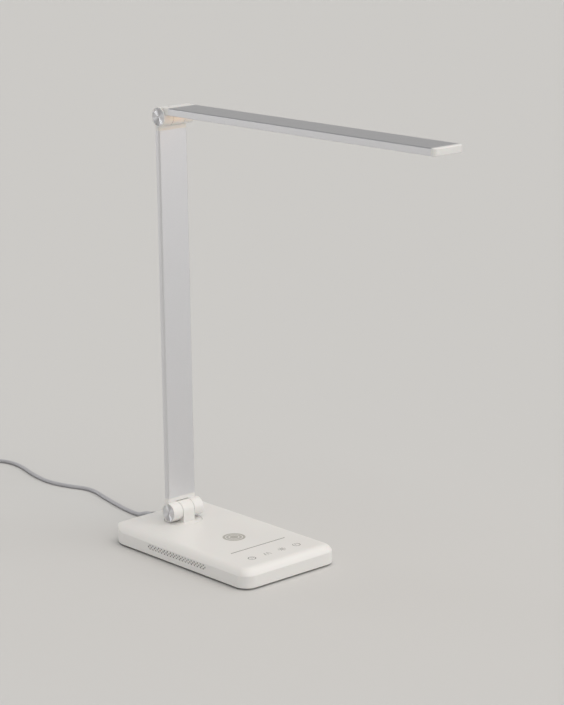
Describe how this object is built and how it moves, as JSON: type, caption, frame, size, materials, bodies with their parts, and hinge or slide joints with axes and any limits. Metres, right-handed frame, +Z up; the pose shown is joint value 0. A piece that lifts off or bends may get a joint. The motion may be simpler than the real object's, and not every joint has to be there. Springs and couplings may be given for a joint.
{
  "type": "folding desk lamp",
  "caption": "Folding LED desk lamp: flat aluminium arm and head on friction hinges over a low rounded base with a charging surface, swivel neck and power lead.",
  "frame": {"origin": "middle of the non-slip pad's flat underside, where the lamp stands on the table", "axes": "+X along the base from the hinge end towards the tip of the lamp head, +Y across the base away from the vented side, +Z up"},
  "size_m": [0.721, 0.1161, 0.4197],
  "materials": {
    "white_plastic": "satin white moulding",
    "anodised": "sand-blasted silver anodised",
    "spun_metal": "spun bright",
    "pad_rubber": "matt dark grey",
    "steel": "zinc plated",
    "circuit_board": "green solder mask",
    "component_black": "matt black",
    "copper": "enamelled copper wire",
    "ferrite": "dark grey sintered",
    "nylon": "natural nylon",
    "bush_brass": "turned",
    "led_board": "white solder mask",
    "led": "phosphor lens",
    "opal": "opal diffusing acrylic",
    "cable": "soft grey sheath",
    "plug_plastic": "dark grey overmould",
    "plug_metal": "nickel plated"
  },
  "bodies": {
    "base": {"base_top_cover": "white_plastic", "base_bottom_cover": "white_plastic", "non_slip_pad": "pad_rubber", "base_screws": "steel", "ballast_plate": "steel", "main_board": "circuit_board", "board_screws": "steel", "board_parts": "component_black", "charging_coil": "copper", "coil_ferrite": "ferrite", "touch_board": "circuit_board", "power_inlet": "component_black", "swivel_washer": "nylon", "lead_plug": "plug_plastic", "lead_plug_barrel": "plug_metal", "cord_lead": "cable", "cord_coil": "cable", "cord_tail": "cable", "usb_plug": "plug_plastic", "usb_shell": "plug_metal"},
    "swivel": {"turntable": "white_plastic", "swivel_spring": "steel", "swivel_nut": "steel", "lower_hinge_bush": "bush_brass", "lower_friction_washers": "nylon"},
    "arm": {"arm_lower_bracket": "white_plastic", "arm_extrusion": "anodised", "arm_wire": "cable", "arm_upper_bracket": "white_plastic", "lower_hinge_shaft": "steel", "upper_hinge_shaft": "steel", "lower_spring_washers": "steel", "upper_spring_washers": "steel", "lower_hinge_nuts": "steel", "upper_hinge_nuts": "steel", "lower_hinge_caps": "spun_metal", "upper_hinge_caps": "spun_metal"},
    "head": {"head_bracket": "white_plastic", "head_extrusion": "anodised", "led_board": "led_board", "leds": "led", "diffuser": "opal", "head_end_cap": "white_plastic", "upper_hinge_bush": "bush_brass", "upper_friction_washers": "nylon"}
  },
  "joints": [
    {"name": "base_swivel", "type": "hinge", "parent": "base", "child": "swivel", "pos_m": [-0.056, 0, 0.0196], "axis": [0, 0, 1], "range_deg": [-90, 90]},
    {"name": "arm_tilt", "type": "hinge", "parent": "swivel", "child": "arm", "pos_m": [-0.056, 0, 0.03], "axis": [0, 1, 0], "range_deg": [-20, 90]},
    {"name": "head_tilt", "type": "hinge", "parent": "arm", "child": "head", "pos_m": [-0.056, 0, 0.4107], "axis": [0, 1, 0], "range_deg": [-90, 90]}
  ]
}
